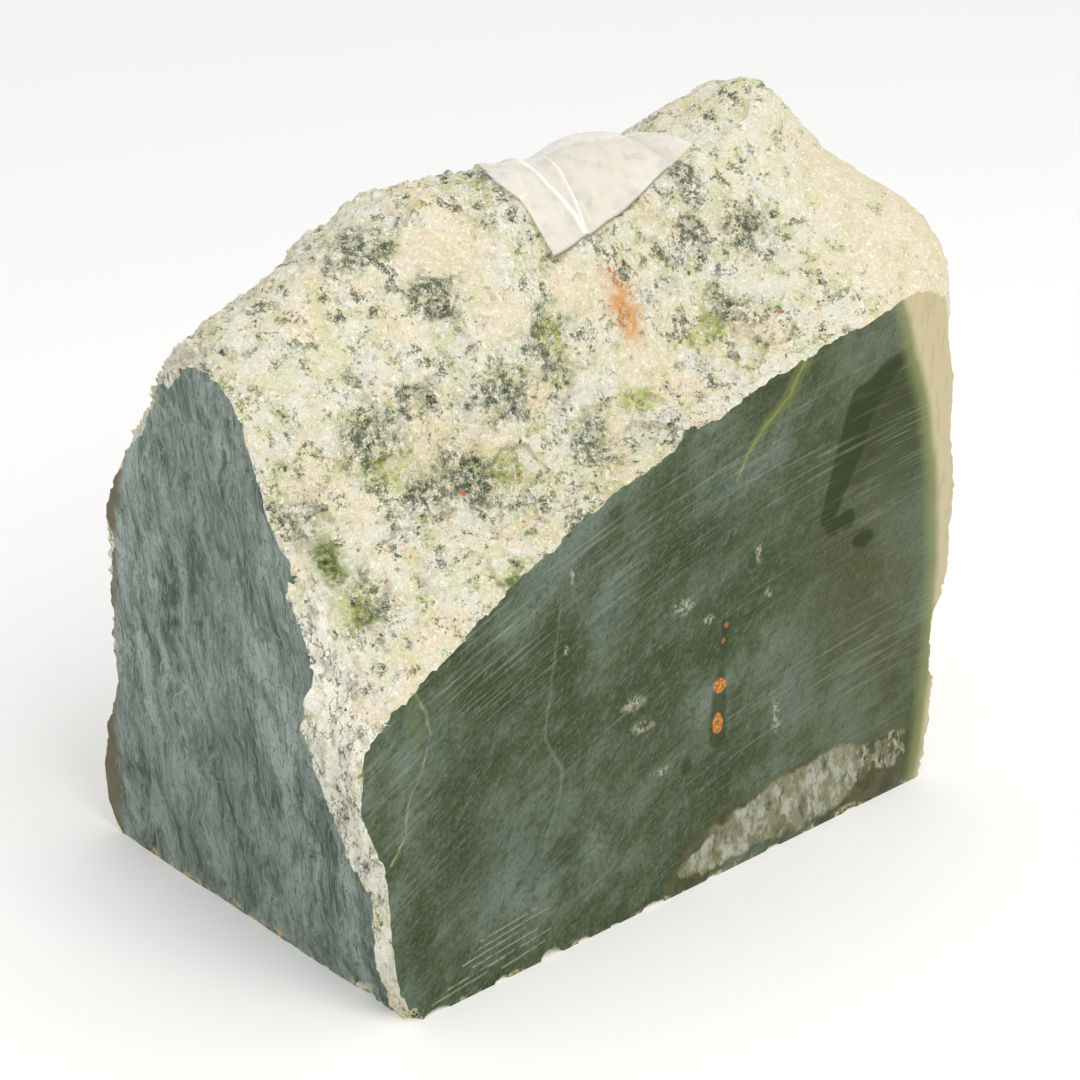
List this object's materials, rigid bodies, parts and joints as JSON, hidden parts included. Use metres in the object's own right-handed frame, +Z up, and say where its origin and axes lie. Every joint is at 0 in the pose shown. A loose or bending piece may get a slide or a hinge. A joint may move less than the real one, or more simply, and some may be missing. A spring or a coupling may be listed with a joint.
{
  "type": "raw jade boulder",
  "caption": "Raw nephrite jade stone, sawn flat in front and underneath, with a rough pale skin above and a strip of clear tape stuck over its ridge",
  "frame": {"origin": "middle of the stone's bounding box in X and Y, at the height of its sawn base", "axes": "+Z up, X along the front sawn face with +X to the right, and the front sawn face looks towards -Y"},
  "size_m": [0.2146, 0.1294, 0.1825],
  "materials": {
    "jade": "sawn matt green, rough pale skin",
    "clear_tape": "glossy, milky clear"
  },
  "bodies": {
    "root": {"jade_stone": "jade", "tape_strip": "clear_tape"}
  },
  "joints": []
}
